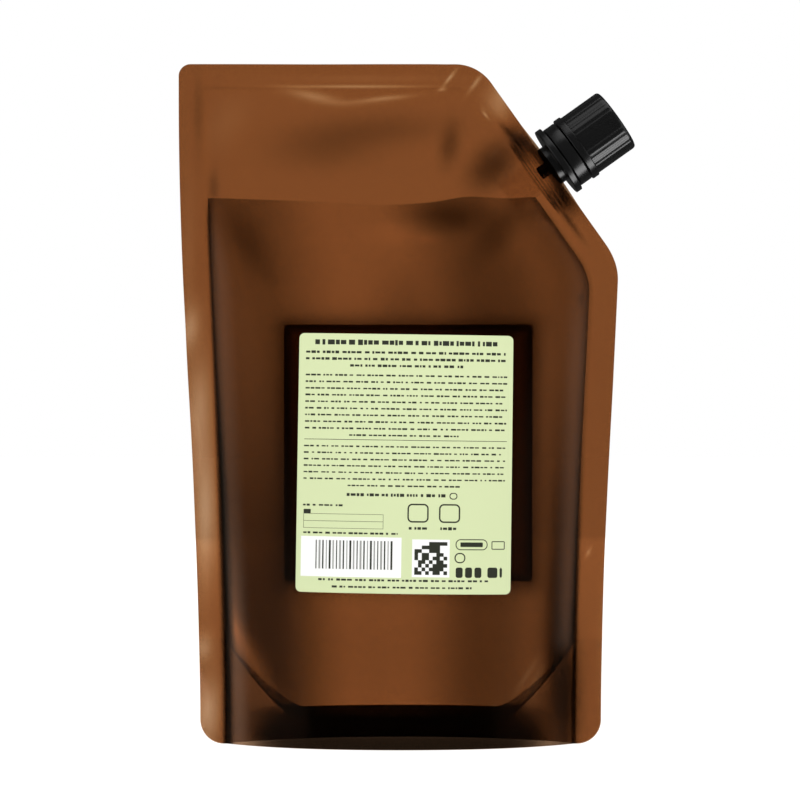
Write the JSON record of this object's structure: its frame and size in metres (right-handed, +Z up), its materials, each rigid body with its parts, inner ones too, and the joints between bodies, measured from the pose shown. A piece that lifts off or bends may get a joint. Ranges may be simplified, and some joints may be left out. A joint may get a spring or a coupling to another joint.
{
  "type": "hand soap refill pack",
  "caption": "Stand-up refill pouch of clear amber film for liquid hand soap, with a bottom gusset, a corner spout, a tamper band and a ribbed screw cap.",
  "frame": {"origin": "on the standing surface, below the centre of the pack's box", "axes": "+Z up; -Y is the back panel with the taller label, as pictured; +X is the side of the slanted corner with the spout"},
  "size_m": [0.1526, 0.0486, 0.2275],
  "materials": {
    "amber_film": "gloss",
    "soap": "gloss",
    "label_paper": "satin",
    "black_plastic": "satin"
  },
  "bodies": {
    "pouch": {"back_film": "amber_film", "front_film": "amber_film", "bottom_gusset": "amber_film", "liquid_soap": "soap", "back_label": "label_paper", "front_label": "label_paper", "spout": "black_plastic"},
    "tamper_band": {"tamper_band": "black_plastic"},
    "screw_cap": {"screw_cap": "black_plastic"}
  },
  "joints": [
    {"name": "cap_turn", "type": "hinge", "parent": "pouch", "child": "tamper_band", "pos_m": [0.05007, 0, 0.19454], "axis": [0.8151, 0, 0.5793], "range_deg": [0, 720]},
    {"name": "cap_lift", "type": "slide", "parent": "tamper_band", "child": "screw_cap", "axis": [0.8151, 0, 0.5793], "range_m": [0, 0.006]}
  ],
  "couplings": [
    {"joint": "cap_lift", "follows": "cap_turn", "m_per_rad": 0.00047746}
  ]
}
